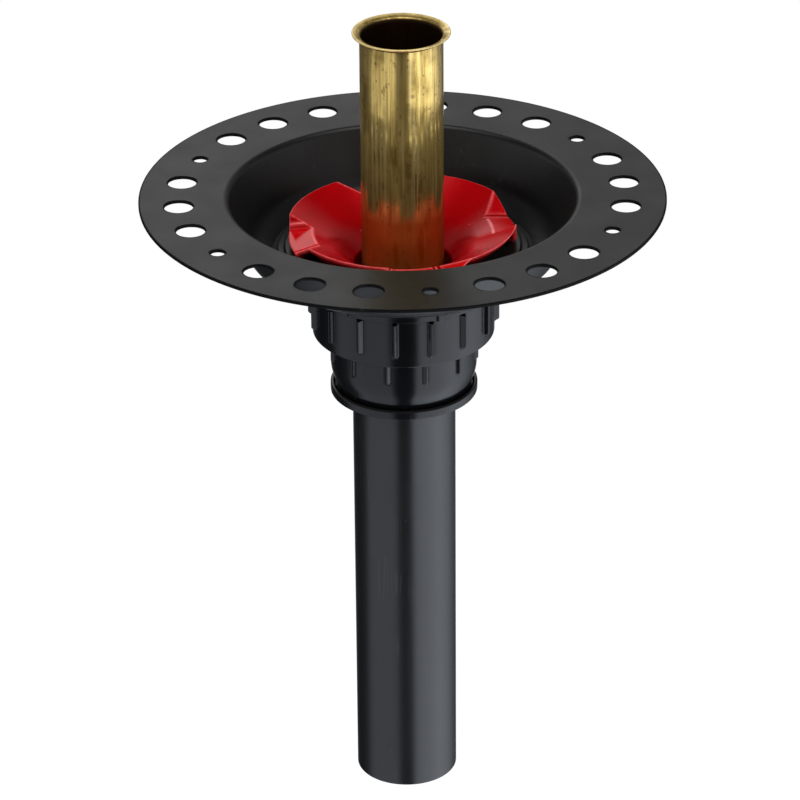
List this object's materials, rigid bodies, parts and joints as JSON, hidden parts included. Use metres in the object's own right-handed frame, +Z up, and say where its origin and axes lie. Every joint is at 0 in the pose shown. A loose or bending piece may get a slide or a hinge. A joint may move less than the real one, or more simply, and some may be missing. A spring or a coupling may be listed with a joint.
{
  "type": "bathtub drain",
  "caption": "Floor-mounted bathtub drain: dished round flange with a ring of holes, red hand nut sealing a brass tailpiece, ribbed nuts below and a long plastic tail pipe.",
  "frame": {"origin": "centre of the flange's underside, in the plane where it lies on the floor", "axes": "+Z up along the common axis towards the tub; +X through a point 6 degrees short of a large hole"},
  "size_m": [0.242, 0.242, 0.3854],
  "materials": {
    "flange_plastic": "matte dark grey, fine moulded grain",
    "body_plastic": "satin black",
    "nut_plastic": "semi-gloss black",
    "pipe_plastic": "semi-gloss black, lightly scratched",
    "red_plastic": "glossy red",
    "pale_plastic": "smooth natural white",
    "aged_brass": "drawn tube, stained and streaked with age",
    "black_rubber": "matte"
  },
  "bodies": {
    "floor_body": {"mounting_flange": "flange_plastic", "body_gasket": "black_rubber", "drain_body": "body_plastic", "slip_seal": "black_rubber"},
    "thrust_ring": {"thrust_ring": "pale_plastic"},
    "hand_nut": {"compression_nut": "red_plastic"},
    "tailpiece": {"brass_tailpiece": "aged_brass"},
    "backing_ring": {"backing_ring": "nut_plastic"},
    "locknut": {"locknut": "nut_plastic"},
    "tail_pipe": {"pipe_adapter": "nut_plastic", "tail_pipe": "pipe_plastic", "coupling_washer": "black_rubber"},
    "coupling_nut": {"coupling_nut": "nut_plastic"}
  },
  "joints": [
    {"name": "hand_nut_travel", "type": "slide", "parent": "floor_body", "child": "thrust_ring", "axis": [0, 0, 1], "range_m": [0, 0.009]},
    {"name": "hand_nut_turn", "type": "hinge", "parent": "thrust_ring", "child": "hand_nut", "pos_m": [0, 0, 0], "axis": [0, 0, 1], "range_deg": [0, 1080]},
    {"name": "tailpiece_slide", "type": "slide", "parent": "floor_body", "child": "tailpiece", "axis": [0, 0, 1], "range_m": [-0.06, 0.04]},
    {"name": "locknut_travel", "type": "slide", "parent": "floor_body", "child": "backing_ring", "axis": [0, 0, 1], "range_m": [-0.009, 0]},
    {"name": "locknut_turn", "type": "hinge", "parent": "backing_ring", "child": "locknut", "pos_m": [0, 0, 0], "axis": [0, 0, 1], "range_deg": [-1080, 0]},
    {"name": "coupling_travel", "type": "slide", "parent": "floor_body", "child": "tail_pipe", "axis": [0, 0, 1], "range_m": [-0.009, 0]},
    {"name": "coupling_turn", "type": "hinge", "parent": "tail_pipe", "child": "coupling_nut", "pos_m": [0, 0, 0], "axis": [0, 0, 1], "range_deg": [-1080, 0]}
  ],
  "couplings": [
    {"joint": "hand_nut_turn", "follows": "hand_nut_travel", "rad_per_m": 2094.4},
    {"joint": "locknut_turn", "follows": "locknut_travel", "rad_per_m": 2094.4},
    {"joint": "coupling_turn", "follows": "coupling_travel", "rad_per_m": 2094.4}
  ]
}
